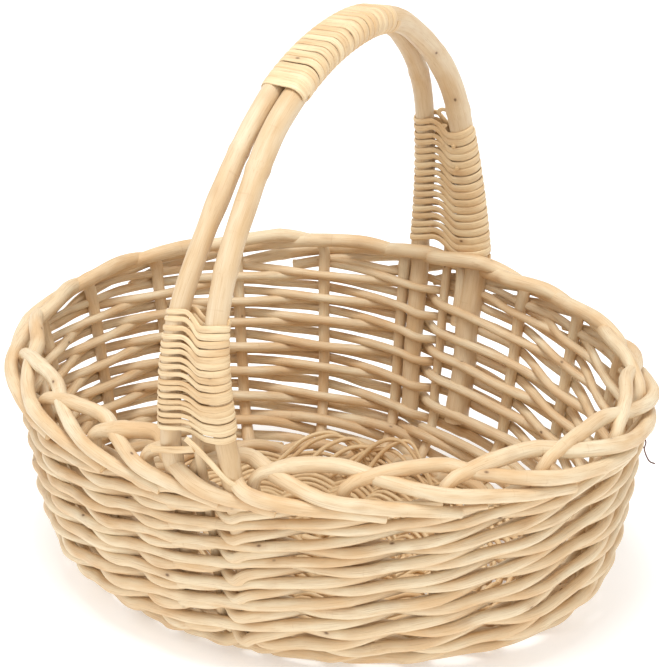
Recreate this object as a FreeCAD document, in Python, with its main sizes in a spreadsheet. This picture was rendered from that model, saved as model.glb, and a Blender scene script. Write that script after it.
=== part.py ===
import FreeCAD, Part
import Sketcher
import bisect
import math
import os

# An oval willow basket with one fixed handle across its short axis.
# X runs along the basket, Y across it and Z up. The origin lies under its centre, on the table.
# Every rod of the weave is a round bar swept along straight runs joined by tangent arcs.

Vector = FreeCAD.Vector
doc = FreeCAD.newDocument("egg_basket")

# ---- driving dimensions, in millimetres unless the name says otherwise ----

DIMENSIONS = {
    "wall_half_length": 164.0,        # of the stake line, taken at the table
    "wall_half_width": 132.5,
    "wall_lean": 0.12,                # outward travel for each millimetre of height
    "stake_count": 21.0,
    "stake_diameter": 6.4,
    "stake_inner_length": 80.0,       # lies flat in the base
    "stake_base_bend": 40.0,
    "knuckle_height": 134.0,
    "knuckle_bend": 5.5,
    "border_drop": 6.75,              # over one stake spacing
    "border_offset": 8.0,
    "border_offset_at_handle": 11.2,
    "wale_count": 15.0,
    "wale_diameter": 5.7,
    "wale_lowest": 17.0,
    "wale_pitch": 6.2,
    "weave_clearance": 0.3,
    "base_weaver_diameter": 4.5,
    "base_weaver_pitch": 5.2,
    "base_weaver_first_radius": 5.0,
    "base_weaver_last_radius": 92.0,
    "short_stick_diameter": 8.0,
    "short_stick_count": 7.0,
    "short_stick_spacing": 20.0,
    "long_stick_diameter": 5.0,
    "long_stick_spacing": 9.0,
    "slit_diameter": 5.2,
    "handle_top": 314.0,
    "handle_crown_radius": 190.0,
    "handle_shoulder_radius": 125.0,
    "handle_inset": 1.0,              # the rods stand this far inside the stake line
    "left_rod_diameter": 10.0,
    "right_rod_diameter": 12.0,
    "handle_knee_spread": 19.5,
    "handle_knee_height": 142.0,
    "handle_foot_spread": 16.0,
    "handle_foot_height": 36.0,
    "handle_stake_diameter": 5.0,
    "handle_stake_top": 220.0,
    "lashing_turns": 15.0,
    "lashing_bottom": 141.0,
    "lashing_pitch": 5.1,
    "lashing_width": 4.7,
    "lashing_thickness": 2.2,
    "wrap_turns": 19.0,
    "wrap_pitch": 7.1,
    "wrap_width": 6.5,
    "wrap_thickness": 1.6,
    "band_clearance": 0.25,
}

sheet = doc.addObject("Spreadsheet::Sheet", "sizes")
for row, (name, value) in enumerate(DIMENSIONS.items(), start=1):
    sheet.set("A%d" % row, name)
    sheet.set("B%d" % row, str(value))
    sheet.setAlias("B%d" % row, name)
doc.recompute()


def size(name):
    return float(sheet.get(name))


def count(name):
    return int(round(size(name)))


parts = []


def keep(obj, label):
    """Give the object its node name and put it on the list of parts to write."""
    obj.Label = label
    parts.append(obj)
    return obj


# ---- wires of straight runs and tangent arcs ----

def rounded_edges(points, radii, closed=False):
    """Straight runs through the points, with an arc of the given radius at each corner."""
    total = len(points)
    corners = []
    for index, point in enumerate(points):
        if not closed and index in (0, total - 1):
            corners.append((point, None, point))
            continue
        back = points[index - 1] - point
        ahead = points[(index + 1) % total] - point
        room = 0.46 * min(back.Length, ahead.Length)
        back.normalize()
        ahead.normalize()
        half_turn = (math.pi - back.getAngle(ahead)) / 2
        trim = min(radii[index] * math.tan(half_turn), room)
        radius = trim / math.tan(half_turn)
        inward = back + ahead
        inward.normalize()
        middle = point + inward * (radius / math.cos(half_turn) - radius)
        corners.append((point + back * trim, middle, point + ahead * trim))
    edges = []
    for index, (start, middle, end) in enumerate(corners):
        if middle is not None:
            edges.append(Part.Arc(start, middle, end).toShape())
        if closed or index < total - 1:
            edges.append(Part.LineSegment(end, corners[(index + 1) % total][0]).toShape())
    return edges


def swept_rod(label, edges, diameter_name):
    """A round bar along the edges; its radius follows the named cell of the sheet."""
    spine = doc.addObject("Part::Feature", label + "_path")
    spine.Shape = Part.Wire(edges)
    first = spine.Shape.Edges[0]
    start = first.valueAt(first.FirstParameter)
    heading = first.tangentAt(first.FirstParameter)
    profile = doc.addObject("Part::Circle", label + "_section")
    profile.setExpression("Radius", "sizes.%s / 2" % diameter_name)
    profile.Placement = FreeCAD.Placement(start, FreeCAD.Rotation(Vector(0, 0, 1), heading))
    rod = doc.addObject("Part::Sweep", label)
    rod.Sections = [profile]
    rod.Spine = (spine, ["Edge%d" % (n + 1) for n in range(len(spine.Shape.Edges))])
    rod.Solid = True
    rod.Frenet = False
    return keep(rod, label)


# ---- heights of the layers in the base ----

lower_weaver_height = size("base_weaver_diameter") / 2
stick_height = size("base_weaver_diameter") + size("short_stick_diameter") / 2 + 0.05
upper_weaver_height = stick_height + size("short_stick_diameter") / 2 + 0.05 + lower_weaver_height


# ---- the oval wall: positions are counted in stake spacings from the near handle stake ----

ARC_STEPS = 3600


def arc_lengths():
    """Distance round the wall's foot from the middle of the near side, in small steps."""
    lengths = [0.0]
    for n in range(ARC_STEPS):
        angle = -math.pi / 2 + 2 * math.pi * (n + 0.5) / ARC_STEPS
        across = size("wall_half_length") * math.sin(angle)
        along = size("wall_half_width") * math.cos(angle)
        lengths.append(lengths[-1] + math.hypot(across, along) * 2 * math.pi / ARC_STEPS)
    return lengths


lengths_round = arc_lengths()
stake_spacing = lengths_round[-1] / count("stake_count")

# A quarter spacing puts one stake between the handle rods at both feet.
handle_centre = stake_spacing / 4


def wall_angle(position):
    distance = (handle_centre + position * stake_spacing) % lengths_round[-1]
    after = min(max(bisect.bisect_left(lengths_round, distance), 1), ARC_STEPS)
    before = lengths_round[after - 1]
    part_step = (distance - before) / (lengths_round[after] - before)
    return -math.pi / 2 + 2 * math.pi * (after - 1 + part_step) / ARC_STEPS


lean_angle = math.atan(size("wall_lean"))
bend_trim = size("stake_base_bend") * math.tan((math.pi / 2 - lean_angle) / 2)
bend_centre_height = stick_height + size("stake_base_bend")


def bent_shift(offset, height):
    """How far outward of the leaning line a rod lies when it follows the stakes' lower bend."""
    radius = size("stake_base_bend") + offset
    drop = bend_centre_height - height
    if drop < radius * math.sin(lean_angle):
        return offset / math.cos(lean_angle)
    reach = math.sqrt(radius ** 2 - drop ** 2)
    return reach - bend_trim - size("wall_lean") * (height - stick_height)


def wall_point(position, offset, height, bent=False):
    """A point beside the stake line: offset is outward, height is above the table.

    With bent set, the offset is measured square to the stake, around its lower bend too.
    """
    angle = wall_angle(position)
    half_length = size("wall_half_length") + size("wall_lean") * height
    half_width = size("wall_half_width") + size("wall_lean") * height
    outward = Vector(math.cos(angle) / half_length, math.sin(angle) / half_width, 0)
    outward.normalize()
    line = Vector(half_length * math.cos(angle), half_width * math.sin(angle), height)
    return line + outward * (bent_shift(offset, height) if bent else offset)


# ---- stakes that bend over at the rim and run round it as the border ----

NEAR_HANDLE_STAKE = 0
FAR_HANDLE_STAKE = 10


def border_course(stake):
    """Where a bent stake runs: (stake spacings onward, outward offset) pairs.

    It passes inside the next stake and outside the one after. Beside the handle it
    crosses the wall a little sooner or later, so that it clears both handle rods.
    """
    offset = size("border_offset")
    beside_rod = size("border_offset_at_handle")
    total = count("stake_count")
    to_handle = min((foot - stake) % total for foot in (NEAR_HANDLE_STAKE, FAR_HANDLE_STAKE))
    if to_handle == 1:
        return [(0.45, -beside_rod), (1.46, -beside_rod), (1.95, offset), (2.45, offset)]
    if to_handle == 2:
        return [(0.45, -offset), (1.06, -offset), (1.44, beside_rod), (2.5, beside_rod)]
    return [(0.45, -offset), (1.0, -offset), (2.0, offset), (2.4, offset)]


def border_stake(label, stake):
    points = [wall_point(stake, -size("stake_inner_length"), stick_height),
              wall_point(stake, 0, stick_height),
              wall_point(stake, 0, size("knuckle_height"))]
    for onward, offset in border_course(stake):
        height = size("knuckle_height") - size("border_drop") * onward
        points.append(wall_point(stake + onward, offset, height))
    radii = [0, size("stake_base_bend"), size("knuckle_bend")] + [14.0] * (len(points) - 3)
    swept_rod(label, rounded_edges(points, radii), "stake_diameter")


border_stakes = [stake for stake in range(count("stake_count"))
                 if stake not in (NEAR_HANDLE_STAKE, FAR_HANDLE_STAKE)]
for number, stake in enumerate(border_stakes, start=1):
    border_stake("border_stake_%02d" % number, stake)


# ---- the shape of the handle: straight legs, tight shoulders and a flatter crown ----

foot_half_width = (size("wall_half_width") * math.sin(wall_angle(FAR_HANDLE_STAKE))
                   - size("handle_inset"))
crown_radius = size("handle_crown_radius")
shoulder_radius = size("handle_shoulder_radius")
leg_length_factor = math.hypot(1, size("wall_lean"))

# The crown's half angle is the one that makes the shoulders tangent to the legs.
crown_half_angle = math.acos(
    (shoulder_radius * leg_length_factor - foot_half_width
     - size("wall_lean") * (size("handle_top") - crown_radius))
    / (crown_radius - shoulder_radius) / leg_length_factor) - math.atan(1 / size("wall_lean"))
shoulder_centre = (crown_radius - shoulder_radius) * math.sin(crown_half_angle)
shoulder_height = (size("handle_top") - crown_radius
                   + (crown_radius - shoulder_radius) * math.cos(crown_half_angle))
crown_edge_height = shoulder_height + shoulder_radius * math.cos(crown_half_angle)
tangent_height = shoulder_height - shoulder_radius * math.sin(lean_angle)

rods_touch = (size("left_rod_diameter") + size("right_rod_diameter")) / 4 + 0.1


def rod_spread(height):
    """Half the distance between the two handle rods at a height."""
    knee = size("handle_knee_height")
    if height > knee:
        share = (size("handle_top") - height) / (size("handle_top") - knee)
        return rods_touch + share * (size("handle_knee_spread") - rods_touch)
    share = (knee - height) / (knee - size("handle_foot_height"))
    return size("handle_knee_spread") + share * (size("handle_foot_spread")
                                                 - size("handle_knee_spread"))


def bow_station(height):
    """Half width of the handle at a height, and how far its heading leans from upright."""
    if height < tangent_height:
        return foot_half_width + size("wall_lean") * height, -lean_angle
    if height < crown_edge_height:
        turn = math.asin((height - shoulder_height) / shoulder_radius)
        return shoulder_centre + shoulder_radius * math.cos(turn), turn
    rise = height - size("handle_top") + crown_radius
    turn = math.asin(min(rise / crown_radius, 1))
    return crown_radius * math.cos(turn), turn


def bow_point(side, end, height):
    """A point on a handle rod: side is -1 or 1 along X, end is -1 (near) or 1 (far)."""
    half_width, lean = bow_station(height)
    return Vector(handle_centre + side * rod_spread(height), end * half_width, height)


# ---- wale rods: each passes outside two stakes and inside the third ----

def wale_station(stake, height):
    """Half the straight run beside a stake, then the offsets outside and inside of it."""
    clear = (size("stake_diameter") + size("wale_diameter")) / 2 + size("weave_clearance")
    beside_stake = size("stake_diameter") / 2 + 2
    if stake not in (NEAR_HANDLE_STAKE, FAR_HANDLE_STAKE):
        return beside_stake, clear, clear
    if height < size("handle_foot_height") - size("wale_pitch"):
        return beside_stake, clear, clear + size("handle_inset")
    return rod_spread(height) + size("right_rod_diameter") / 2 + 1.5, clear + 5.8, clear + 2.8


def wale_rod(label, row):
    height = size("wale_lowest") + row * size("wale_pitch")
    local_spacing = stake_spacing * (1 + size("wall_lean") * height / size("wall_half_width"))
    points = []
    for stake in range(count("stake_count")):
        half_station, outside, inside = wale_station(stake, height)
        offset = -inside if (stake + row) % 3 == 0 else outside
        for side in (-half_station, half_station):
            points.append(wall_point(stake + side / local_spacing, offset, height, bent=True))
    swept_rod(label, rounded_edges(points, [28.0] * len(points), closed=True), "wale_diameter")


for row in range(count("wale_count")):
    wale_rod("wale_rod_%02d" % (row + 1), row)


# ---- the handle: two bow rods that stand in the wall and meet side by side at the top ----

def handle_rod(label, side, diameter_name):
    legs = []
    shoulders = []
    for end in (-1, 1):
        heights = (size("handle_foot_height"), size("handle_knee_height"), tangent_height)
        legs.append(rounded_edges([bow_point(side, end, height) for height in heights],
                                  [0, 120.0, 0]))
        middle = (tangent_height + crown_edge_height) / 2
        shoulders.append(Part.Arc(bow_point(side, end, tangent_height),
                                  bow_point(side, end, middle),
                                  bow_point(side, end, crown_edge_height)).toShape())
    crown = Part.Arc(bow_point(side, -1, crown_edge_height),
                     Vector(handle_centre + side * rods_touch, 0, size("handle_top")),
                     bow_point(side, 1, crown_edge_height)).toShape()
    edges = legs[0] + [shoulders[0], crown, shoulders[1]] + legs[1][::-1]
    swept_rod(label, edges, diameter_name)


handle_rod("handle_rod_left", -1, "left_rod_diameter")
handle_rod("handle_rod_right", 1, "right_rod_diameter")


# ---- the two stakes that run up between the handle rods instead of joining the border ----

def handle_stake(label, stake, end):
    x = wall_point(stake, 0, 0).x
    top = size("handle_stake_top")
    middle = (tangent_height + top) / 2
    inner = wall_point(stake, -size("stake_inner_length"), stick_height)
    points = [Vector(x, inner.y, stick_height),
              Vector(x, end * bow_station(stick_height)[0], stick_height),
              Vector(x, end * bow_station(tangent_height)[0], tangent_height)]
    edges = rounded_edges(points, [0, size("stake_base_bend"), 0])
    curved = Part.Arc(points[-1],
                      Vector(x, end * bow_station(middle)[0], middle),
                      Vector(x, end * bow_station(top)[0], top))
    swept_rod(label, edges + [curved.toShape()], "handle_stake_diameter")


handle_stake("handle_stake_near", NEAR_HANDLE_STAKE, -1)
handle_stake("handle_stake_far", FAR_HANDLE_STAKE, 1)


# ---- bands of flat skein round both handle rods ----

def slot_wire(half_run, radius):
    """A closed oval in the XY plane: two straight runs joined by half circles."""
    right = Part.Arc(Vector(half_run, -radius, 0), Vector(half_run + radius, 0, 0),
                     Vector(half_run, radius, 0))
    top = Part.LineSegment(Vector(half_run, radius, 0), Vector(-half_run, radius, 0))
    left = Part.Arc(Vector(-half_run, radius, 0), Vector(-half_run - radius, 0, 0),
                    Vector(-half_run, -radius, 0))
    bottom = Part.LineSegment(Vector(-half_run, -radius, 0), Vector(half_run, -radius, 0))
    return Part.Wire([piece.toShape() for piece in (right, top, left, bottom)])


def band(half_run, width, thickness, centre, heading):
    """One turn of skein, centred on a point of the handle and square to its heading."""
    inner_radius = size("right_rod_diameter") / 2 + size("band_clearance")
    outer = Part.Face(slot_wire(half_run, inner_radius + thickness))
    ring = outer.cut(Part.Face(slot_wire(half_run, inner_radius)))
    solid = ring.extrude(Vector(0, 0, width))
    solid.translate(Vector(0, 0, -width / 2))
    tilt = math.degrees(math.atan2(heading.y, heading.z))
    solid.Placement = FreeCAD.Placement(centre, FreeCAD.Rotation(Vector(1, 0, 0), -tilt)).multiply(
        solid.Placement)
    return solid


def lashing(label, end):
    turns = []
    height = size("lashing_bottom")
    for n in range(count("lashing_turns")):
        half_width, lean = bow_station(height)
        heading = Vector(0, -end * math.sin(lean), math.cos(lean))
        turns.append(band(rod_spread(height), size("lashing_width"), size("lashing_thickness"),
                          Vector(handle_centre, end * half_width, height), heading))
        height += size("lashing_pitch") * math.cos(lean)
    skein = doc.addObject("Part::Feature", label)
    skein.Shape = Part.makeCompound(turns)
    keep(skein, label)


lashing("lashing_near", -1)
lashing("lashing_far", 1)


def grip_wrap(label):
    turns = []
    for n in range(count("wrap_turns")):
        angle = (n - (count("wrap_turns") - 1) / 2) * size("wrap_pitch") / crown_radius
        height = size("handle_top") - crown_radius * (1 - math.cos(angle))
        centre = Vector(handle_centre, crown_radius * math.sin(angle), height)
        heading = Vector(0, math.cos(angle), -math.sin(angle))
        turns.append(band(rod_spread(height), size("wrap_width"), size("wrap_thickness"),
                          centre, heading))
    skein = doc.addObject("Part::Feature", label)
    skein.Shape = Part.makeCompound(turns)
    keep(skein, label)


grip_wrap("grip_wrap")


# ---- the base: short sticks, slit to let the long sticks through, held by two weavers ----

def plane_of(body, role):
    return next(item for item in body.Origin.OriginFeatures if item.Role == role)


def circle_sketch(body, label, role, circles):
    """A sketch of circles on one of the body's planes; each is (x, y, diameter cell)."""
    sketch = body.newObject("Sketcher::SketchObject", label)
    sketch.AttachmentSupport = [(plane_of(body, role), "")]
    sketch.MapMode = "FlatFace"
    for x, y, cell in circles:
        circle = Part.Circle(Vector(x, y, 0), Vector(0, 0, 1), size(cell) / 2)
        index = sketch.addGeometry(circle, False)
        constraint = sketch.addConstraint(Sketcher.Constraint("Diameter", index, size(cell)))
        sketch.setExpression("Constraints[%d]" % constraint, "sizes.%s" % cell)
    return sketch


def stick_half_length(along_x, across):
    """Half the length of a base stick that stops short of the stakes' inner ends."""
    margin = size("stake_inner_length") + 3
    half_length = size("wall_half_length") - margin
    half_width = size("wall_half_width") - margin
    if along_x:
        return half_length * math.sqrt(1 - (across / half_width) ** 2)
    return half_width * math.sqrt(1 - (across / half_length) ** 2)


def base_stick(label, role, half_length, place, diameter_name):
    """A straight round stick, padded both ways from the body's own plane."""
    body = doc.addObject("PartDesign::Body", label)
    sketch = circle_sketch(body, label + "_section", role, [(0, 0, diameter_name)])
    pad = body.newObject("PartDesign::Pad", label + "_pad")
    pad.Profile = sketch
    pad.Midplane = True
    pad.Length = 2 * half_length
    body.Tip = pad
    body.Placement = FreeCAD.Placement(place, FreeCAD.Rotation())
    return body


def long_stick(label, across):
    body = base_stick(label, "YZ_Plane", stick_half_length(True, across),
                      Vector(0, across, stick_height), "long_stick_diameter")
    keep(body, label)


def short_stick(label, across, slit_rows):
    body = base_stick(label, "XZ_Plane", stick_half_length(False, across),
                      Vector(across, 0, stick_height), "short_stick_diameter")
    slits = circle_sketch(body, label + "_slits", "YZ_Plane",
                          [(row, 0, "slit_diameter") for row in slit_rows])
    pocket = body.newObject("PartDesign::Pocket", label + "_slit")
    pocket.Profile = slits
    pocket.Type = "ThroughAll"
    pocket.Midplane = True
    body.Tip = pocket
    keep(body, label)


long_rows = [n * size("long_stick_spacing") for n in (-1, 0, 1)]
for number, across in enumerate(long_rows, start=1):
    long_stick("long_base_stick_%d" % number, across)

for number in range(count("short_stick_count")):
    across = (number - (count("short_stick_count") - 1) / 2) * size("short_stick_spacing")
    short_stick("short_base_stick_%d" % (number + 1), across, long_rows)


def base_weaver(label, height):
    """One long rod wound outward as an oval spiral of half circles and straight runs."""
    centre = size("wall_half_length") - size("wall_half_width")
    pitch = size("base_weaver_pitch")
    radius = size("base_weaver_first_radius")
    edges = []
    start = Vector(centre, -radius, height)
    while radius < size("base_weaver_last_radius"):
        right_end = Vector(centre, radius, height)
        edges.append(Part.Arc(start, Vector(centre + radius, 0, height), right_end).toShape())
        left_start = Vector(-centre, radius, height)
        edges.append(Part.LineSegment(right_end, left_start).toShape())
        wide = radius + pitch / 2
        left_end = Vector(-centre, radius - 2 * wide, height)
        edges.append(Part.Arc(left_start, Vector(-centre - wide, radius - wide, height),
                              left_end).toShape())
        radius += pitch
        start = Vector(centre, -radius, height)
        edges.append(Part.LineSegment(left_end, start).toShape())
    swept_rod(label, edges, "base_weaver_diameter")


base_weaver("base_weaver_lower", lower_weaver_height)
base_weaver("base_weaver_upper", upper_weaver_height)


# ---- check every object, then write one file for each part ----

doc.recompute()

for obj in doc.Objects:
    if "Invalid" in obj.State or "Error" in obj.State:
        raise RuntimeError("%s did not compute: %s" % (obj.Label, obj.State))

for obj in parts:
    if obj.Shape.isNull() or not obj.Shape.isValid() or not obj.Shape.Solids:
        raise RuntimeError("%s has no valid solid" % obj.Label)

os.makedirs("parts", exist_ok=True)
for obj in parts:
    obj.Shape.exportStep("parts/%s.step" % obj.Label)

box = FreeCAD.BoundBox()
for obj in parts:
    box.add(obj.Shape.BoundBox)
print("parts", len(parts))
print("box X %.2f..%.2f Y %.2f..%.2f Z %.2f..%.2f"
      % (box.XMin, box.XMax, box.YMin, box.YMax, box.ZMin, box.ZMax))
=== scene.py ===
import math

import bpy
import numpy as np
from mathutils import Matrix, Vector


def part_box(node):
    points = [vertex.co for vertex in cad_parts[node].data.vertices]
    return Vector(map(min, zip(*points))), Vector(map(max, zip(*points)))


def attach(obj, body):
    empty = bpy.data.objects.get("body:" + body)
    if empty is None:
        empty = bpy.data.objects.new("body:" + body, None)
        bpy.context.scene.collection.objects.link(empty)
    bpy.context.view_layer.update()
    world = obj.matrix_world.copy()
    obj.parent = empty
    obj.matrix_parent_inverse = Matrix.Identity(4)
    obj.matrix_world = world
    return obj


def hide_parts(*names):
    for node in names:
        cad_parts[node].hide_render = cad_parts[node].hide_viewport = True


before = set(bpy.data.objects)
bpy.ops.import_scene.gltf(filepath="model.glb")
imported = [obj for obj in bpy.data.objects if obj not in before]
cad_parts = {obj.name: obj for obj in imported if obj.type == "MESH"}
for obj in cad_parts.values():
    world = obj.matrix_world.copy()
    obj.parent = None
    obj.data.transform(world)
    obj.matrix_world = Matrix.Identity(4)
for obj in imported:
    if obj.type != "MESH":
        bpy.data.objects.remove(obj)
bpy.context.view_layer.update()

# Every willow rod of the basket is a tapered, slightly crooked tube that follows its own course
# through the weave. Shapes are worked out in millimetres and turned into metres in Bundle.build.

MM = 0.001
random = np.random.default_rng(20315)

# ---- the wall: the line that the stakes follow, close to that of the CAD model ----

STAKES = 21
NEAR_FOOT = 0
FAR_FOOT = 10
LEAN = 0.15
BEND_RADIUS = 40.0
STICK_HEIGHT = 8.55
BORDER_REACH = 11.3                  # from the stake line to the outside of the CAD border
BORDER_ROD_RADIUS = 3.2
END_TRIM = 2.2                       # the ends stand this far inside those of the CAD model
NARROWER = 30.8                      # how much less the half width is than the half length


def box_mm(node):
    """The low and high corners of a CAD node's box."""
    low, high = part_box(node)
    return np.array(low) / MM, np.array(high) / MM


border_names = sorted(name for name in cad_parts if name.startswith("border_stake"))
border_low = np.min([box_mm(name)[0] for name in border_names], axis=0)
border_high = np.max([box_mm(name)[1] for name in border_names], axis=0)
RIM_HEIGHT = border_high[2] - BORDER_ROD_RADIUS
HALF_LENGTH = (border_high[0] - border_low[0]) / 2 - BORDER_REACH - LEAN * RIM_HEIGHT - END_TRIM
HALF_WIDTH = HALF_LENGTH - NARROWER
EGG = 0.055                          # the left end is a little wider than the right

bend_angle = math.pi / 2 - math.atan(LEAN)
bend_trim = BEND_RADIUS * math.tan(bend_angle / 2)
bend_length = BEND_RADIUS * bend_angle


def arc_table():
    """Angle round the oval against distance from the middle of the near side."""
    angles = np.linspace(-math.pi / 2, 1.5 * math.pi, 7201)
    middle = (angles[1:] + angles[:-1]) / 2
    steps = np.hypot(HALF_LENGTH * np.sin(middle), HALF_WIDTH * np.cos(middle)) * np.diff(angles)
    return angles, np.concatenate([[0], np.cumsum(steps)])


arc_angles, arc_distances = arc_table()
ROUND = arc_distances[-1]
SPACING = ROUND / STAKES
HANDLE_CENTRE = SPACING / 4          # where stake 0 stands, along the oval from its near middle


def wall(u, s, d):
    """Points of the wall. u counts stake spacings anticlockwise from the near handle foot,
    s is the distance up the stake from the start of its bend, and d is outward of the stake."""
    u, s, d = np.broadcast_arrays(*(np.asarray(value, float) for value in (u, s, d)))
    angle = np.interp((HANDLE_CENTRE + u * SPACING) % ROUND, arc_distances, arc_angles)
    turn = np.clip(s / BEND_RADIUS, 0, bend_angle)
    past = s - turn * BEND_RADIUS
    radius = BEND_RADIUS + d
    reach = radius * np.sin(turn) + past * np.cos(turn)
    height = STICK_HEIGHT + BEND_RADIUS - radius * np.cos(turn) + past * np.sin(turn)
    outward = reach - bend_trim - LEAN * (height - STICK_HEIGHT)
    half_length = HALF_LENGTH + LEAN * height
    half_width = HALF_WIDTH + LEAN * height
    normal = np.stack([np.cos(angle) / half_length, np.sin(angle) / half_width], -1)
    normal /= np.linalg.norm(normal, axis=-1, keepdims=True)
    x = half_length * np.cos(angle) + normal[..., 0] * outward
    y = half_width * np.sin(angle) + normal[..., 1] * outward
    return np.stack([x, y * (1 - EGG * np.cos(angle)), height], -1)


def up_to(height):
    """The distance s at which the stake line reaches a height above its bend."""
    start = STICK_HEIGHT + BEND_RADIUS * (1 - math.cos(bend_angle))
    return bend_length + (height - start) / math.sin(bend_angle)


# ---- smooth courses and noise ----

def smooth(keys, step):
    """A Catmull-Rom course through rows of numbers. step(b, c) says how many samples to take
    between the rows b and c."""
    keys = np.asarray(keys, float)
    padded = np.vstack([2 * keys[0] - keys[1], keys, 2 * keys[-1] - keys[-2]])
    rows = []
    for n in range(len(keys) - 1):
        a, b, c, d = padded[n:n + 4]
        count = max(2, int(math.ceil(step(b, c))))
        t = np.linspace(0, 1, count, endpoint=False)[:, None]
        rows.append(0.5 * (2 * b + (c - a) * t + (2 * a - 5 * b + 4 * c - d) * t ** 2
                           + (3 * b - a - 3 * c + d) * t ** 3))
    rows.append(keys[-1:])
    return np.vstack(rows)


def each_mm(scale):
    """Samples for a piece of course whose columns are a point: about one each scale mm."""
    return lambda b, c: np.linalg.norm(c - b) / scale


def wander(count, spacing, wavelength):
    """Smooth noise along a rod, about -1 to 1."""
    knots = max(4, int(count * spacing / wavelength) + 4)
    values = random.normal(0, 0.55, knots)
    where = np.linspace(0, knots - 1.001, count)
    index = where.astype(int)
    share = where - index
    share = share * share * (3 - 2 * share)
    return values[index] * (1 - share) + values[np.minimum(index + 1, knots - 1)] * share


# ---- rods and skeins swept along courses ----

def circle(sides):
    angle = np.linspace(0, 2 * math.pi, sides, endpoint=False)
    return np.stack([np.cos(angle), np.sin(angle)], -1)


# Across a strand of split skein: flat inside, gently crowned outside.
SKEIN = np.array([(1.0, 0.0), (0.86, 0.5), (0.5, 0.86), (-0.35, 1.0), (-1.0, 0.72),
                  (-1.0, -0.72), (-0.35, -1.0), (0.5, -0.86), (0.86, -0.5)])


def tangents(points):
    ahead = np.gradient(points, axis=0)
    return ahead / np.maximum(np.linalg.norm(ahead, axis=1, keepdims=True), 1e-9)


def carried_normals(points):
    """Normals that don't twist along the course."""
    along = tangents(points)
    normal = np.cross(along[0], [0.3, 0.2, 1.0])
    if np.linalg.norm(normal) < 0.1:
        normal = np.cross(along[0], [1.0, 0.3, 0])
    normals = []
    for direction in along:
        normal = normal - direction * normal.dot(direction)
        normal = normal / np.linalg.norm(normal)
        normals.append(normal)
    return np.array(normals)


END_BULGE = 0.18                     # how far a cut end stands out, in radii


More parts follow.
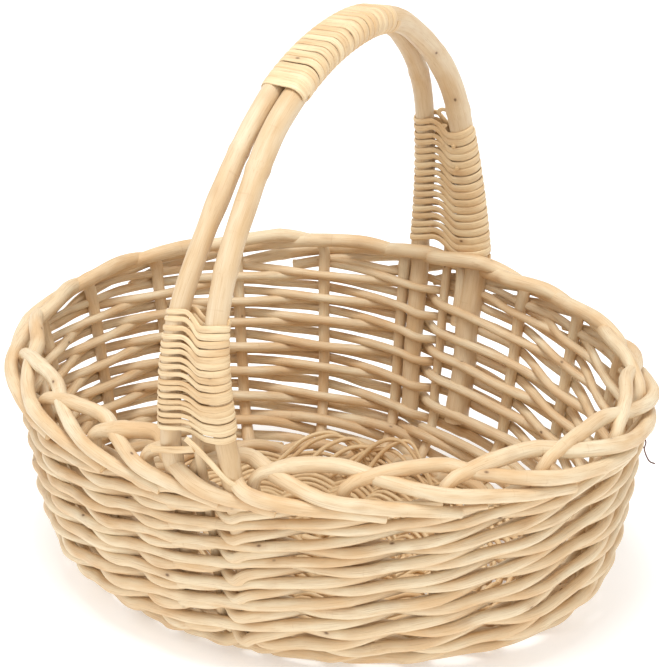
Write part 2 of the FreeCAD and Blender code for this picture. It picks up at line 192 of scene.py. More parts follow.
class Bundle:
    """Gathers swept pieces into one mesh, with what the materials need on each point:
    grain is a place in the wood, tint a number for each rod, and cut is 1 on a cut end."""

    def __init__(self):
        self.points = []
        self.faces = []
        self.grain = []
        self.tint = []
        self.cut = []
        self.total = 0

    def add(self, points, faces, grain, tint, cut):
        self.points.append(points)
        self.faces += [tuple(int(corner) + self.total for corner in face) for face in faces]
        self.grain.append(grain)
        self.tint.append(np.full(len(points), tint))
        self.cut.append(np.full(len(points), cut))
        self.total += len(points)

    def sweep(self, points, thick, wide, normals=None, section=None, tint=None):
        points = np.asarray(points, float)
        count = len(points)
        section = circle(10) if section is None else section
        thick = np.broadcast_to(np.asarray(thick, float), count)
        wide = np.broadcast_to(np.asarray(wide, float), count)
        normals = carried_normals(points) if normals is None else normals
        along = tangents(points)
        normals = normals - along * np.sum(normals * along, axis=1, keepdims=True)
        normals = normals / np.linalg.norm(normals, axis=1, keepdims=True)
        across = np.cross(along, normals)
        ring = (points[:, None]
                + normals[:, None] * (section[:, 0] * thick[:, None])[..., None]
                + across[:, None] * (section[:, 1] * wide[:, None])[..., None])
        sides = len(section)
        travel = np.concatenate([[0], np.cumsum(np.linalg.norm(np.diff(points, axis=0), axis=1))])
        place = random.uniform(-500, 500, 3)
        grain = np.empty((count, sides, 3))
        grain[..., 0] = travel[:, None] + place[0]
        grain[..., 1] = section[:, 0] * thick[:, None] + place[1]
        grain[..., 2] = section[:, 1] * wide[:, None] + place[2]
        tint = random.uniform(0, 1) if tint is None else tint
        faces = []
        for n in range(count - 1):
            for k in range(sides):
                after = (k + 1) % sides
                faces.append((n * sides + k, n * sides + after,
                              (n + 1) * sides + after, (n + 1) * sides + k))
        self.add(ring.reshape(-1, 3), faces, grain.reshape(-1, 3), tint, 0.0)
        for end, ahead in ((0, -1), (count - 1, 1)):
            rim = ring[end]
            bulge = END_BULGE * min(thick[end], wide[end])
            inner = points[end] + (rim - points[end]) * 0.7 + along[end] * ahead * bulge * 0.7
            tip = points[end] + along[end] * ahead * bulge
            cap = np.vstack([rim, inner, tip])
            cap_faces = []
            for k in range(sides):
                after = (k + 1) % sides
                first = (k, after) if ahead < 0 else (after, k)
                cap_faces.append((first[1], first[0], first[0] + sides, first[1] + sides))
                cap_faces.append((first[1] + sides, first[0] + sides, 2 * sides))
            cap_grain = np.zeros((len(cap), 3))
            cap_grain[:] = grain[end, 0] * [1, 0, 0]
            cap_grain[:, 1:] = place[1:]
            cap_grain[:sides, 1:] = grain[end, :, 1:]
            cap_grain[sides:2 * sides, 1:] = place[1:] + 0.7 * (grain[end, :, 1:] - place[1:])
            cap_grain[:, 0] += 40 * np.linalg.norm(cap_grain[:, 1:] - place[1:], axis=1)
            self.add(cap, cap_faces, cap_grain, tint, 1.0)

    def rod(self, points, radius, crook=0.35, sides=10, tint=None):
        """A willow rod: a little crooked, out of round, and thicker at its leaf scars."""
        points = np.asarray(points, float)
        count = len(points)
        radius = np.broadcast_to(np.asarray(radius, float), count).copy()
        step = np.linalg.norm(np.diff(points, axis=0), axis=1).mean()
        fade = np.minimum(1, np.minimum(np.arange(count), np.arange(count)[::-1]) * step / 12.0)
        moved = points.copy()
        for axis in range(3):
            moved[:, axis] += crook * fade * wander(count, step, 34.0)
        radius *= 1 + 0.045 * wander(count, step, 16.0)
        place = random.uniform(10, 60)
        travel = np.arange(count) * step
        while place < travel[-1]:
            radius *= 1 + random.uniform(0.03, 0.1) * np.exp(-((travel - place) / 2.6) ** 2)
            place += random.uniform(38, 95)
        moved[:, 2] = np.maximum(moved[:, 2], radius * 1.12 + 0.15)
        oval = 1 + 0.05 * wander(count, step, 60.0)
        self.sweep(moved, radius * oval, radius / oval, section=circle(sides), tint=tint)

    def build(self, name, material, nodes):
        mesh = bpy.data.meshes.new(name)
        points = np.vstack(self.points) * MM
        mesh.from_pydata(points.tolist(), [], self.faces)
        for attribute, kind, values in (("grain", "FLOAT_VECTOR", np.vstack(self.grain)),
                                        ("tint", "FLOAT", np.concatenate(self.tint)),
                                        ("cut", "FLOAT", np.concatenate(self.cut))):
            layer = mesh.attributes.new(attribute, kind, "POINT")
            layer.data.foreach_set("vector" if kind == "FLOAT_VECTOR" else "value",
                                   values.astype(np.float32).ravel())
        mesh.polygons.foreach_set("use_smooth", [True] * len(mesh.polygons))
        mesh.materials.append(material)
        mesh.update()
        piece = bpy.data.objects.new(name, mesh)
        bpy.context.scene.collection.objects.link(piece)
        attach(piece, "root")
        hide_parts(*nodes)
        return piece


# ---- materials ----

def linear(red, green, blue):
    """An sRGB colour, each part from 0 to 255, as the linear colour a shader takes."""
    parts = [part / 255 for part in (red, green, blue)]
    return [part / 12.92 if part <= 0.04045 else ((part + 0.055) / 1.055) ** 2.4
            for part in parts] + [1.0]


def willow(name, pale, warm, dark, streaks=1.0, roughness=0.5, bump=0.25):
    """Peeled willow: fine streaks along the rod, warmer patches, small dark leaf scars."""
    material = bpy.data.materials.new(name)
    material.use_nodes = True
    nodes = material.node_tree.nodes
    links = material.node_tree.links
    nodes.clear()

    def node(kind, **values):
        made = nodes.new(kind)
        for key, value in values.items():
            setattr(made, key, value)
        return made

    def noise(vector, scale, detail=3.0, rough=0.55):
        made = node("ShaderNodeTexNoise")
        made.inputs["Scale"].default_value = scale
        made.inputs["Detail"].default_value = detail
        made.inputs["Roughness"].default_value = rough
        links.new(vector, made.inputs["Vector"])
        return made.outputs["Fac"]

    def ramp(factor, low, high, first=0.0, last=1.0):
        made = node("ShaderNodeMapRange", clamp=True)
        made.inputs["From Min"].default_value = low
        made.inputs["From Max"].default_value = high
        made.inputs["To Min"].default_value = first
        made.inputs["To Max"].default_value = last
        links.new(factor, made.inputs["Value"])
        return made.outputs["Result"]

    def mix(factor, first, second, blend="MIX"):
        made = node("ShaderNodeMix", data_type="RGBA", blend_type=blend)
        for value, socket in ((factor, 0), (first, 6), (second, 7)):
            if hasattr(value, "is_linked"):
                links.new(value, made.inputs[socket])
            else:
                made.inputs[socket].default_value = value
        return made.outputs[2]

    def maths(operation, first, second):
        made = node("ShaderNodeMath", operation=operation)
        for value, socket in ((first, 0), (second, 1)):
            if hasattr(value, "is_linked"):
                links.new(value, made.inputs[socket])
            else:
                made.inputs[socket].default_value = value
        return made.outputs[0]

    grain = node("ShaderNodeAttribute", attribute_name="grain").outputs["Vector"]
    tint = node("ShaderNodeAttribute", attribute_name="tint").outputs["Fac"]
    cut = node("ShaderNodeAttribute", attribute_name="cut").outputs["Fac"]

    def stretched(along, round_rod):
        made = node("ShaderNodeVectorMath", operation="MULTIPLY")
        made.inputs[1].default_value = (along, round_rod, round_rod)
        links.new(grain, made.inputs[0])
        return made.outputs["Vector"]

    fibres = noise(stretched(0.03, 1.0), 2.4, 4.0, 0.65)
    streak = noise(stretched(0.012, 0.5), 0.9, 3.0)
    patches = noise(stretched(0.035, 0.12), 0.8, 2.0)
    specks = node("ShaderNodeTexVoronoi", feature="F1")
    specks.inputs["Scale"].default_value = 0.078
    links.new(stretched(0.6, 1.0), specks.inputs["Vector"])
    scar = ramp(specks.outputs["Distance"], 0.03, 0.08, 1.0, 0.0)
    halo = ramp(specks.outputs["Distance"], 0.06, 0.28, 1.0, 0.0)
    # Faint dark bands across the rod: crease marks, partly their own darker colour and partly painted
    # shade in the creases.
    cross = noise(stretched(0.5, 0.08), 1.0, 2.0)

    colour = mix(ramp(patches, 0.35, 0.68), pale, warm)
    colour = mix(maths("MULTIPLY", ramp(streak, 0.5, 0.75), 0.45 * streaks), colour, warm)
    colour = mix(maths("MULTIPLY", ramp(fibres, 0.5, 0.78), 0.7 * streaks), colour, dark)
    colour = mix(ramp(tint, 0.0, 1.0, 0.0, 0.28), colour, warm)
    colour = mix(maths("MULTIPLY", ramp(cross, 0.66, 0.8), 0.22), colour, dark)
    colour = mix(maths("MULTIPLY", halo, 0.3), colour, dark)
    colour = mix(maths("MULTIPLY", scar, 0.8), colour, linear(92, 58, 34))
    colour = mix(maths("MULTIPLY", cut, 0.55), colour, linear(214, 178, 128))

    height = maths("ADD", maths("MULTIPLY", fibres, 0.5), maths("MULTIPLY", patches, 0.6))
    height = maths("SUBTRACT", height, maths("MULTIPLY", scar, 0.9))
    relief = node("ShaderNodeBump")
    relief.inputs["Strength"].default_value = bump
    relief.inputs["Distance"].default_value = 0.0006
    links.new(height, relief.inputs["Height"])

    shader = node("ShaderNodeBsdfPrincipled")
    shader.inputs["Specular IOR Level"].default_value = 0.35
    links.new(colour, shader.inputs["Base Color"])
    links.new(ramp(fibres, 0.3, 0.7, roughness - 0.07, roughness + 0.12), shader.inputs["Roughness"])
    links.new(relief.outputs["Normal"], shader.inputs["Normal"])
    output = node("ShaderNodeOutputMaterial")
    links.new(shader.outputs["BSDF"], output.inputs["Surface"])
    return material


PALE = linear(232, 216, 184)
WARM = linear(216, 182, 138)
DARK = linear(174, 132, 90)
stake_willow = willow("stake_willow", PALE, WARM, DARK)
wale_willow = willow("wale_willow", PALE, WARM, DARK, streaks=1.1)
base_willow = willow("base_willow", linear(236, 212, 170), linear(218, 183, 136), DARK)
handle_willow = willow("handle_willow", linear(224, 204, 172), linear(210, 179, 137), DARK,
                       streaks=0.8, roughness=0.44)
skein_willow = willow("skein_willow", linear(236, 214, 174), linear(220, 186, 140), DARK,
                      streaks=1.4, roughness=0.42)


# ---- stakes that bend over at the rim and run round it as the border ----

STAKE_RADIUS = 3.45
WALL_ROD_STEP = 2.6                  # between the samples of a rod in the wall
FAR_RIM_LIFT = 4.0
HANDLE_X = 4.0                       # the middle of the handle stands this far right of the base's

# How far each stake stands from an even spacing, in spacings. They crowd beside the handle.
STAKE_SHIFT = np.array([0, -0.45, -0.50, -0.48, -0.42, -0.30, -0.20, -0.10, -0.10, -0.15, 0,
                        -0.38, -0.28, -0.10, 0, 0.05, 0.10, 0.20, 0.35, 0.45, 0.25])
# Both feet of the handle stand at the handle's own x, and the stakes near them move along.
STAKE_SHIFT -= (HANDLE_CENTRE - HANDLE_X) / SPACING * np.cos(2 * math.pi * np.arange(STAKES) / 20)


def placed(stake):
    """Where a stake, or a place part of the way to the next one, really stands."""
    return stake + np.interp(np.asarray(stake, float) % STAKES, np.arange(STAKES + 1),
                             np.append(STAKE_SHIFT, STAKE_SHIFT[0]))


def per_length(scale):
    """Samples for a piece of course whose columns are u, s and d: about one each scale mm."""
    return lambda b, c: np.linalg.norm((c - b)[:3] * [SPACING, 1, 1]) / scale


def near_share(stake):
    """1 at the near side of the basket, where the rods are packed, and 0 at the far side."""
    return 0.5 + 0.5 * np.cos(2 * math.pi * np.asarray(stake) / STAKES)


def rim_lift(stake):
    """The rim is a little higher at the far side."""
    return FAR_RIM_LIFT * (1 - near_share(stake))


def turned_over(lift, late, near_rod):
    """The part of a stake that lies in the border, from its knuckle to its tip. lift raises the
    knuckle, late moves it along, and near_rod makes room for a foot of the handle."""
    return [(0.05, up_to(128.3 + lift), 0.4, 3.4), (0.16, up_to(130.8 + lift), -1.4, 3.8),
            (0.5, up_to(133.8 + lift), -5.0, 4.2), (1.0, up_to(133.0), -8.0 - near_rod, 4.2),
            (1.45 + late, up_to(129.6), -0.8, 4.2), (2.0, up_to(125.2), 8.0 + near_rod, 4.1),
            (2.5, up_to(121.0), 8.6 + near_rod, 3.9), (3.0, up_to(116.6), 8.0, 3.5),
            (3.35 + late, up_to(112.8), 7.0, 3.0)]


def border_course(stake):
    """Columns u, s, d and radius for one stake, from the base to its tip on the border."""
    lift = random.uniform(-1.1, 1.1)
    late = random.uniform(-0.08, 0.08)
    size = random.uniform(0.93, 1.05)
    to_foot = min((foot - stake) % STAKES for foot in (NEAR_FOOT, FAR_FOOT))
    near_rod = 3.0 if to_foot in (1, 2) else 0.0
    rows = [(0, -30, 0, 3.6), (0, 0, 0, 3.6), (0, 30, 0, 3.5), (0, 62, 0, 3.5),
            (0, up_to(100), 0, 3.5), (0, up_to(116), 0.4, 3.6), (0, up_to(124), 0.8, 3.7)]
    rows += turned_over(lift, late, near_rod)
    keys = np.array(rows)
    keys[5:, 3] *= size
    keys[5:, 1] += rim_lift(stake + keys[5:, 0])
    keys[:, 0] = placed(stake + keys[:, 0])
    return keys


def beside_foot_course(foot):
    """A rod that starts beside a foot of the handle and passes inside it into the border."""
    rows = [(0, up_to(96), -3.0, 3.2), (0, up_to(118), -1.5, 3.4)]
    rows += turned_over(-1.0, 0.0, 1.5)
    keys = np.array(rows)
    keys[1:, 1] += rim_lift(foot + keys[1:, 0])
    keys[:, 0] = placed(foot - 0.2 + keys[:, 0])
    return keys


def woven_rod(bundle, keys, crook, sides=10):
    """A rod in the wall, from rows of u, s, d and radius."""
    course = smooth(keys, per_length(WALL_ROD_STEP))
    bundle.rod(wall(course[:, 0], course[:, 1], course[:, 2]), course[:, 3], crook=crook, sides=sides)


border_stakes = [stake for stake in range(STAKES) if stake not in (NEAR_FOOT, FAR_FOOT)]
for name, stake in zip(border_names, border_stakes):
    bundle = Bundle()
    woven_rod(bundle, border_course(stake), 0.3, sides=12)
    if stake - 1 in (NEAR_FOOT, FAR_FOOT):
        woven_rod(bundle, beside_foot_course(stake - 1), 0.3, sides=12)
    bundle.build("willow_" + name, stake_willow, [name])


# ---- the wall's weave: one rod starts at each stake and rises a tier at each that it passes ----

FIRST_TIER = 23.0
TIER_PITCH = 5.2
NEAR_PITCH_LESS = 0.8                # how much closer the tiers are packed at the near side
WALE_RADIUS = 3.15
NEAR_THICKER = 0.42
TOP_THINNER = 0.7
OVERLAP = 0.9                        # how far a rod presses in where it passes a stake
FOOT_HEIGHT = 8.5
FOOT_RADIUS = 3.4
CROSSING_OFFSET = 4.8                # how far off the stake line a rod is as it changes sides
LAST_TIER = up_to(115.0)
SPAN = LAST_TIER - FIRST_TIER
sag = random.normal(0, 0.9, (STAKES, 10))


def tier_height(stake, tier):
    """The height s of a tier at a stake, and its share of the way up. Tiers lie closer and
    closer toward the top."""
    pitch = TIER_PITCH - NEAR_PITCH_LESS * near_share(stake)
    share = min(tier * pitch / SPAN, 1.03)
    rise = SPAN + rim_lift(stake)
    return FIRST_TIER + rise * share * (1.12 - 0.12 * share), share


def sag_at(stake, share):
    """Unevenness that neighbouring rods share."""
    where = min(share, 1.0) * 8
    index = int(where)
    part = where - index
    return sag[stake % STAKES, index] * (1 - part) + sag[stake % STAKES, index + 1] * part


def past_handle(stake, tier, height, clear, radius):
    """Past a foot of the handle a rod keeps to the side it comes from, crosses between the two
    handle rods if it has to, and leaves on the side that it goes to."""
    before, after = (-1 if (tier + step) % 3 == 2 else 1 for step in (-1, 1))
    between = clear if before == after else before * CROSSING_OFFSET
    u = placed(stake)
    return [(u - 0.4, height - 2.0, before * (clear + 1.0), radius), (u, height, between, radius),
            (u + 0.3, height + 2.0, after * (clear + 1.0), radius)]


def wale_course(first):
    """A rod that passes outside two stakes and inside the third, a tier higher at each stake."""
    keys = [(placed(first - 0.46), FIRST_TIER - 9, -1.5, 3.0),
            (placed(first - 0.2), FIRST_TIER - 4, 3.0, 3.3)]
    size = random.uniform(0.92, 1.06)
    tier = 0
    while True:
        stake = first + tier
        height, share = tier_height(stake, tier)
        if share >= 1.0:
            break
        side = -1 if tier % 3 == 2 else 1
        radius = size * (WALE_RADIUS + NEAR_THICKER * near_share(stake) - TOP_THINNER * share)
        clear = STAKE_RADIUS + radius - OVERLAP
        height += sag_at(stake, share) + random.uniform(-0.35, 0.35)
        apart = 0.5 + 0.65 * near_share(stake)
        if side > 0:
            height += apart if tier % 3 == 1 else -apart
        if stake % STAKES in (NEAR_FOOT, FAR_FOOT) and tier > 2:
            keys += past_handle(stake, tier, height, clear, radius)
        else:
            keys.append((placed(stake), height, side * clear, radius))
            ahead = tier_height(stake + 1, tier + 1)[0]
            middle = (tier_height(stake, tier)[0] + ahead) / 2 + sag_at(stake, share)
            if tier % 3 == 0:
                keys.append((placed(stake + 0.5), middle, clear * 0.93, radius))
        tier += 1
    last = keys[-1]
    keys.append((last[0] + 0.5, last[1] + 1.4, 2.0, 2.4))
    keys.append((last[0] + 0.95, last[1] + 2.6, 4.6, 2.0))
    keys.append((last[0] + 1.5, last[1] + 3.2, 6.2, 1.6))
    return np.array(keys)


def foot_course(first):
    """One of the three rods that run round the foot of the wall, a little past their own start."""
    keys = []
    for n in range(STAKES + 2):
        stake = first + n
        height = FOOT_HEIGHT + 4.0 * n / STAKES + (n % 3 - 1) * 1.6 + random.uniform(-0.6, 0.6)
        clear = STAKE_RADIUS + 3.3
        keys.append((placed(stake), height, -clear if n % 3 == 2 else clear, FOOT_RADIUS))
    return np.array(keys)


wale_names = sorted(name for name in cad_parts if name.startswith("wale_rod"))
courses = [foot_course(first) for first in range(3)] + [wale_course(first) for first in range(STAKES)]
for index, name in enumerate(wale_names):
    bundle = Bundle()
    for number, keys in enumerate(courses):
        if number * len(wale_names) // len(courses) == index:
            woven_rod(bundle, keys, 0.25)
    bundle.build("willow_" + name, wale_willow, [name])


# ---- a stray dark fibre that hangs outside the right end ----

bark_fibre = willow("bark_fibre", linear(120, 74, 62), linear(96, 56, 48), linear(60, 34, 30))
fibre = Bundle()
FIBRE_STEM = [(168, 37, 106), (171.5, 37, 105), (174.5, 37, 101), (174, 37, 96), (177, 37, 90),
              (180.5, 37, 89)]
FIBRE_TWIG = [(174, 37, 97), (171.5, 37, 98), (170, 37, 97)]
for keys in (FIBRE_STEM, FIBRE_TWIG):
    course = smooth(keys, each_mm(0.8))
    fibre.rod(course, 0.4, crook=0.15, sides=6, tint=0.5)
fibre.build("stray_fibre", bark_fibre, [wale_names[-1]])


# ---- the base: sticks, and pairs of thin weavers that twist round them and the stakes ----

def stick(name):
    """One stick of the base, where the CAD model has it. Returns its ends and its radius."""
    low, high = box_mm(name)
    middle = (low + high) / 2
    along = 0 if high[0] - low[0] > high[1] - low[1] else 1
    half = (high[along] - low[along]) / 2
    radius = (high[2] - low[2]) / 2
    course = np.repeat(middle[None], 40, axis=0)
    course[:, along] += np.linspace(-half, half, 40)
    bundle = Bundle()
    bundle.rod(course, radius * np.linspace(1.0, 0.86, 40), crook=0.25, sides=12)
    bundle.build("willow_" + name, base_willow, [name])
    ends = course[[0, -1]][:, :2]
    return ends, radius


supports = []
for name in sorted(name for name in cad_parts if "base_stick" in name):
    supports.append(stick(name))
for stake in range(STAKES):
    inner = wall(placed(stake), -45, 0)[:2]
    outer = wall(placed(stake), 8, 0)[:2]
    supports.append((np.array([inner, outer]), STAKE_RADIUS))

BASE_STRETCH = 31.0                  # how much longer than wide the base's ovals are, each way
BASE_PITCH = 5.7
BASE_START = 5.0                     # the half width of the innermost turn
BASE_PAST_CAD = 6.5                  # how far the weave goes on past the edge of the CAD model's
TURN_SAMPLES = 150
WEAVER_SAMPLES = 420                 # a weaver's length, in samples, before the next takes over
WEAVER_RADIUS = 1.45
BEND_START = abs(wall(0.0, 0.0, 0.0)[1])     # the half width at which the stakes turn up


def crossings(path):
    """Where a flat path crosses the sticks and stakes: (place along the path, half thickness)."""
    found = []
    step = np.diff(path, axis=0)
    for ends, radius in supports:
        side = ends[1] - ends[0]
        offset = path[:-1] - ends[0]
        turn = step[:, 0] * side[1] - step[:, 1] * side[0]
        turn = np.where(np.abs(turn) < 1e-9, 1e-9, turn)
        t = (side[0] * offset[:, 1] - side[1] * offset[:, 0]) / turn
        v = (step[:, 0] * offset[:, 1] - step[:, 1] * offset[:, 0]) / turn
        for n in np.nonzero((t >= 0) & (t < 1) & (v >= 0) & (v <= 1))[0]:
            found.append((n + t[n], radius))
    found.sort()
    kept = found[:1]
    for item in found[1:]:
        if item[0] - kept[-1][0] > 2.0:
            kept.append(item)
    return kept


def base_path(first, last):
    """An oval spiral about the middle of the base between two half widths: (x, y, half width)."""
    turns = (last - first) / BASE_PITCH
    count = int(turns * TURN_SAMPLES)
    turn = np.linspace(0, turns, count)
    half_width = first + (last - first) * turn / turns
    angle = 2 * math.pi * turn + 0.4
    x = (half_width + BASE_STRETCH) * np.cos(angle)
    return np.stack([x, half_width * np.sin(angle), half_width], -1)


def base_weavers(bundle, strand, first, last):
    """One of the two strands of weavers that cross over and under the sticks by turns."""
    spiral = base_path(first, last)
    path = spiral[:, :2]
    past = np.maximum(spiral[:, 2] - BEND_START, 0)
    lift = BEND_RADIUS - np.sqrt(BEND_RADIUS ** 2 - past ** 2)
    found = crossings(path)
    where = np.array([item[0] for item in found])
    over = np.array([(1 if (n + strand) % 2 else -1) * (radius + WEAVER_RADIUS - 0.1)
                     for n, (_, radius) in enumerate(found)])
    place = np.arange(len(path))
    index = np.clip(np.searchsorted(where, place) - 1, 0, len(where) - 2)
    share = np.clip((place - where[index]) / (where[index + 1] - where[index]), 0, 1)
    share = share * share * (3 - 2 * share)
    height = STICK_HEIGHT + over[index] * (1 - share) + over[index + 1] * share
    height = np.maximum(height, WEAVER_RADIUS + 0.3) + lift
    outward = path / np.linalg.norm(path, axis=1, keepdims=True)
    apart = np.cos(math.pi * (index + share)) * 0.9 * (1 if strand else -1)
    flat = path + outward * apart[:, None]
    points = np.column_stack([flat, height])
    shared = 20                      # samples along which a weaver and the next lie together
    for start in range(0, len(points) - shared, WEAVER_SAMPLES):
        piece = points[start:start + WEAVER_SAMPLES + shared]
        radius = WEAVER_RADIUS * (1 + 0.16 * random.normal()) * np.linspace(1.12, 0.88, len(piece))
        bundle.rod(piece, np.clip(radius, 1.1, 1.75), crook=0.35, sides=7)


def loose_strands(bundle):
    """Ends of weavers that have sprung up from the base, near the far wall."""
    for n in range(7):
        x = -72 + 9 * n + random.uniform(-3, 3)
        rise = random.uniform(14, 24)
        reach = random.uniform(34, 52)
        keys = [(x, 58 + 2.5 * n, 13), (x + 0.3 * reach, 72 + 2 * n, 13 + 0.8 * rise),
                (x + 0.62 * reach, 82 + n, 13 + rise), (x + 0.9 * reach, 84, 13 + 0.6 * rise),
                (x + 1.15 * reach, 80, 14)]
        course = smooth(keys, each_mm(2.0))
        bundle.rod(course, np.linspace(1.5, 1.1, len(course)), crook=0.5, sides=8)


base_low, base_high = box_mm("base_weaver_upper")
base_reach = (base_high[1] - base_low[1]) / 2
for strand, name in enumerate(("base_weaver_lower", "base_weaver_upper")):
    bundle = Bundle()
    base_weavers(bundle, strand, BASE_START, base_reach + BASE_PAST_CAD)
    if strand:
        loose_strands(bundle)
    bundle.build("willow_" + name, base_willow, [name])


# ---- the handle ----

# The centre line of the handle, as (y, z) from the near foot to the far one. It's bent by hand,
# so its two shoulders are not the same. Its height is that of the CAD model.
HANDLE_TOP = box_mm("handle_rod_right")[1][2] - 6.0
BOW_KEYS = [(-128, 36), (-140, 106), (-149, 142), (-148, 210), (-108, 265), (-60, HANDLE_TOP - 13.5),
            (0, HANDLE_TOP + 1), (60, HANDLE_TOP - 6), (115, 265), (138, 210),
            (147, 142), (140, 106), (128, 36)]
bow = smooth(BOW_KEYS, each_mm(2.5))
for _ in range(3):                   # each pass takes a little of the keys' corners away
    eased = np.stack([np.convolve(bow[:, k], np.ones(9) / 9, "valid") for k in range(2)], -1)
    bow = np.vstack([bow[:4], eased, bow[-4:]])
bow_travel = np.concatenate([[0], np.cumsum(np.linalg.norm(np.diff(bow, axis=0), axis=1))])
BOW_LENGTH = bow_travel[-1]


def left_radius(travel):
    """The left rod's radius at a distance along the handle."""
    return 5.2 + 0.4 * travel / BOW_LENGTH


def right_radius(travel):
    """The right rod's radius at a distance along the handle."""
    return 5.4 + 1.9 * travel / BOW_LENGTH


def half_spread(y, z):
    """Half the gap between the centres of the two rods."""
    knee, above = (17.0, 11.0) if y < 0 else (19.0, 12.6)
    return np.interp(z, [36, 142, 210, 292], [16.0, knee, above, 6.3])


def bow_frame(travel):
    """Point, heading and outward direction on the handle at a distance along it."""
    travel = float(np.clip(travel, 1, BOW_LENGTH - 1))
    y, z = (np.interp(travel, bow_travel, bow[:, k]) for k in range(2))
    ahead = [np.interp(travel + 1, bow_travel, bow[:, k]) - np.interp(travel - 1, bow_travel, bow[:, k])
             for k in range(2)]
    heading = np.array([0, ahead[0], ahead[1]])
    heading /= np.linalg.norm(heading)
    return np.array([HANDLE_X, y, z]), heading, np.array([0, -heading[2], heading[1]])


def travel_at(height, end):
    """How far along the handle a height is reached, on the near (-1) or far (1) side."""
    top = bow[:, 1].argmax()
    if end < 0:
        return np.interp(height, bow[:top, 1], bow_travel[:top])
    return np.interp(height, bow[:top:-1, 1], bow_travel[:top:-1])


for name, side, radius_at in (("handle_rod_left", -1, left_radius), ("handle_rod_right", 1, right_radius)):
    spread = np.array([half_spread(y, z) for y, z in bow])
    course = np.column_stack([HANDLE_X + side * spread, bow])
    bundle = Bundle()
    bundle.rod(course, radius_at(bow_travel), crook=0.7, sides=22, tint=0.3)
    bundle.build("willow_" + name, handle_willow, [name])

for name, stake, end, top in (("handle_stake_near", NEAR_FOOT, -1, 209.0),
                              ("handle_stake_far", FAR_FOOT, 1, 222.0)):
    start = wall(placed(stake), np.linspace(-30, bend_length, 40), 0)
    heights = np.linspace(start[-1][2] + 3, top, 70)
    rise = [bow_frame(travel_at(height, end))[0] for height in heights]
    bundle = Bundle()
    bundle.rod(np.vstack([start, rise]), np.linspace(3.1, 2.5, 110), crook=0.4, sides=10)
    bundle.build("willow_" + name, stake_willow, [name])


# ---- skein: the wrapped grip and the two lashings ----

def hull(circles, gap, count):
    """A closed loop of count points round circles (centre x, radius), and its normals."""
    angle = np.linspace(0, 2 * math.pi, 721)
    reach = np.array([x * np.cos(angle) + radius + gap for x, radius in circles])
    best = reach.argmax(axis=0)
    centres = np.array([x for x, _ in circles])[best]
    radii = np.array([radius for _, radius in circles])[best] + gap
    loop = np.stack([centres + radii * np.cos(angle), radii * np.sin(angle)], -1)
    travel = np.concatenate([[0], np.cumsum(np.linalg.norm(np.diff(loop, axis=0), axis=1))])
    where = np.linspace(0, travel[-1], count, endpoint=False)
    points = np.stack([np.interp(where, travel, loop[:, k]) for k in range(2)], -1)
    facing = np.interp(where, travel, angle)
    return points, np.stack([np.cos(facing), np.sin(facing)], -1)


def both_rods(travel, gap, count):
    """The loop of a skein round both handle rods, and half the gap between them."""
    centre, _, _ = bow_frame(travel)
    spread = float(half_spread(centre[1], centre[2]))
    circles = [(-spread, left_radius(travel)), (spread, right_radius(travel))]
    return hull(circles, gap, count) + (spread,)


SIDEWAYS = np.array([1.0, 0, 0])
WRAP_TURNS = 19
WRAP_START = travel_at(301.5, -1)
WRAP_LENGTH = 106.0


def grip_wrap():
    """One skein wound round both rods at the top of the handle. Its first turn is the widest."""
    steps = 46
    pitch = WRAP_LENGTH / WRAP_TURNS
    count = WRAP_TURNS * steps + 1
    noise = wander(count, 1.0, 34.0) * 0.35
    points = []
    normals = []
    half_wide = []
    for n in range(count):
        travel = WRAP_START + n / steps * pitch
        centre, heading, outward = bow_frame(travel)
        loop, facing, _ = both_rods(travel, 0.75, steps)
        k = n % steps
        widest = 1 + 0.5 * math.exp(-(n / steps / 1.2) ** 2)
        points.append(centre + SIDEWAYS * loop[k][0] + outward * loop[k][1] + heading * noise[n])
        normals.append(SIDEWAYS * facing[k][0] + outward * facing[k][1])
        half_wide.append(pitch * 0.49 * widest * (1 + 0.05 * math.sin(n / steps * 1.7)))
    bundle = Bundle()
    bundle.sweep(points, 0.62, half_wide, normals=np.array(normals), section=SKEIN, tint=0.2)
    bundle.build("skein_grip_wrap", skein_willow, ["grip_wrap"])


grip_wrap()

ROD_CLIMB = 0.2                      # a strand climbs to the right on a rod, and falls between rods


def lashing(name, end, turns, left, right, tucked_ends):
    """A skein wound turns times, between the two heights given for the left and the right rod.
    tucked_ends adds its loose ends."""
    steps = 60
    count = turns * steps + 1
    noise = wander(count, 1.0, 50.0) * 0.55
    points = []
    normals = []
    half_wide = []
    for n in range(count):
        progress = n / (count - 1)
        heights = [rod[0] + (rod[1] - rod[0]) * progress for rod in (left, right)]
        middle = travel_at(sum(heights) / 2, end)
        loop, facing, spread = both_rods(middle, 0.6, steps)
        k = n % steps
        side = float(np.clip(loop[k][0] / spread * 1.9, -1, 1))
        share = 0.5 + 0.5 * math.sin(0.5 * math.pi * side)
        climb = ROD_CLIMB * (loop[k][0] - spread * (2 * share - 1))
        travel = travel_at(heights[0] * (1 - share) + heights[1] * share + climb + noise[n], end)
        centre, _, outward = bow_frame(travel)
        between = math.exp(-(loop[k][0] / (0.5 * spread)) ** 2)
        points.append(centre + SIDEWAYS * loop[k][0] + outward * loop[k][1] * (1 - 0.42 * between))
        normals.append(SIDEWAYS * facing[k][0] + outward * facing[k][1])
        pitch = (left[1] - left[0]) / turns
        half_wide.append(pitch * (0.36 + 0.13 * share - 0.05 * between))
    bundle = Bundle()
    bundle.sweep(points, 0.6, half_wide, normals=np.array(normals), section=SKEIN, tint=0.4)
    tucked_ends(bundle, end)
    bundle.build("skein_" + name, skein_willow, [name])


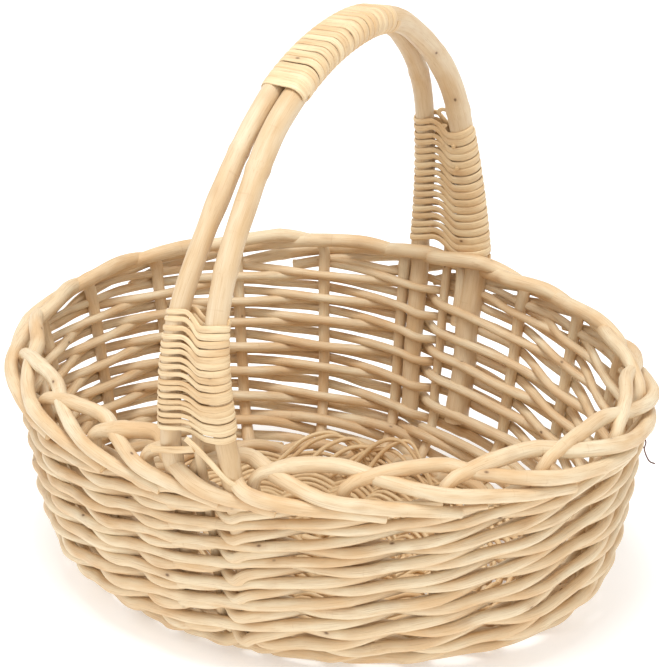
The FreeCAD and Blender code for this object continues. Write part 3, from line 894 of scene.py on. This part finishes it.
def near_tails(bundle, end):
    """The two ends of the near skein, tucked across the feet of the handle rods."""
    for tail in (((-0.15, 151), (0.25, 146), (0.65, 139), (1.0, 132), (1.35, 128)),
                 ((-1.5, 138), (-1.0, 140), (-0.4, 143), (0.1, 146))):
        rows = []
        for share, height in tail:
            centre, _, outward = bow_frame(travel_at(height, end))
            spread = half_spread(centre[1], centre[2])
            rows.append(centre + SIDEWAYS * spread * share + outward * (7.8 - 1.6 * abs(share)))
        course = smooth(rows, each_mm(2.0))
        facing = np.repeat([outward], len(course), axis=0)
        bundle.sweep(course, 0.6, 2.1, normals=facing, section=SKEIN, tint=0.1)


def far_ends(bundle, end):
    """The end of the far skein, curled up at its top, and two cut butts that stand out inside."""
    rows = []
    centre, heading, outward = bow_frame(travel_at(231, end))
    for turn in np.linspace(-0.4, 1.25 * math.pi, 16):
        rows.append(centre + SIDEWAYS * (3.5 - 4.6 * math.cos(turn)) - heading * 4.6 * math.sin(turn)
                    - outward * (1.0 + 0.8 * turn))
    facing = np.repeat([outward], len(rows), axis=0)
    bundle.sweep(rows, 0.5, 1.3, normals=facing, section=SKEIN, tint=0.1)
    for height in (215, 200):
        centre, _, outward = bow_frame(travel_at(height, end))
        spread = half_spread(centre[1], centre[2])
        foot = centre + SIDEWAYS * (spread * 0.72) - outward * (right_radius(BOW_LENGTH) * 0.75)
        course = [foot + (-outward + SIDEWAYS * 0.3) * reach for reach in (0.0, 1.3, 2.6, 3.6)]
        bundle.rod(course, 1.25, crook=0, sides=9, tint=0.9)


lashing("lashing_near", -1, 17, (151.5, 216.0), (153.0, 212.5), near_tails)
lashing("lashing_far", 1, 17, (142.5, 228.5), (137.0, 222.5), far_ends)


# ---- floor, light and camera ----

def floor():
    """A plain white floor, far wider than the view, that glows a little like lit paper."""
    mesh = bpy.data.meshes.new("floor")
    reach = 30.0
    mesh.from_pydata([(-reach, -reach, 0), (reach, -reach, 0), (reach, reach, 0), (-reach, reach, 0)],
                     [], [(0, 1, 2, 3)])
    plane = bpy.data.objects.new("floor", mesh)
    bpy.context.scene.collection.objects.link(plane)
    material = bpy.data.materials.new("floor_paper")
    material.use_nodes = True
    shader = material.node_tree.nodes["Principled BSDF"]
    shader.inputs["Base Color"].default_value = (0.93, 0.93, 0.93, 1)
    shader.inputs["Roughness"].default_value = 0.9
    shader.inputs["Emission Color"].default_value = (1, 1, 1, 1)
    shader.inputs["Emission Strength"].default_value = 0.3
    mesh.materials.append(material)


def area_light(name, place, target, width, power):
    data = bpy.data.lights.new(name, "AREA")
    data.shape = "DISK"
    data.size = width
    data.energy = power
    light = bpy.data.objects.new(name, data)
    light.location = place
    light.rotation_euler = (Vector(target) - Vector(place)).to_track_quat("-Z", "Y").to_euler()
    bpy.context.scene.collection.objects.link(light)


floor()
area_light("key", (-1.2, -1.2, 1.9), (0, 0, 0.1), 0.9, 6.5)
area_light("top", (0.1, -0.35, 1.7), (0, 0, 0.1), 0.7, 15.5)
area_light("fill", (1.5, -1.0, 1.0), (0, 0, 0.1), 1.6, 3)

world = bpy.data.worlds.new("studio")
world.use_nodes = True
background = world.node_tree.nodes["Background"]
background.inputs["Color"].default_value = (1, 1, 1, 1)
background.inputs["Strength"].default_value = 0.76
bpy.context.scene.world = world
bpy.context.scene.view_settings.view_transform = "Standard"

# The camera looks from the front right, a little above.
AZIMUTH = math.radians(27.8)
ELEVATION = math.radians(26.19)
DISTANCE = 1.3358
LENS_MM = 130.5
AIM = Vector((0, 0, 0.110))

camera_data = bpy.data.cameras.new("camera")
camera_data.sensor_fit = "HORIZONTAL"
camera_data.sensor_width = 36.0
camera_data.lens = LENS_MM
camera_data.shift_y = 0.0816
camera_data.clip_end = 20
camera = bpy.data.objects.new("camera", camera_data)
back = Vector((math.sin(AZIMUTH) * math.cos(ELEVATION), -math.cos(AZIMUTH) * math.cos(ELEVATION),
               math.sin(ELEVATION)))
camera.location = AIM + back * DISTANCE
camera.rotation_euler = back.to_track_quat("Z", "Y").to_euler()
bpy.context.scene.collection.objects.link(camera)
bpy.context.scene.camera = camera
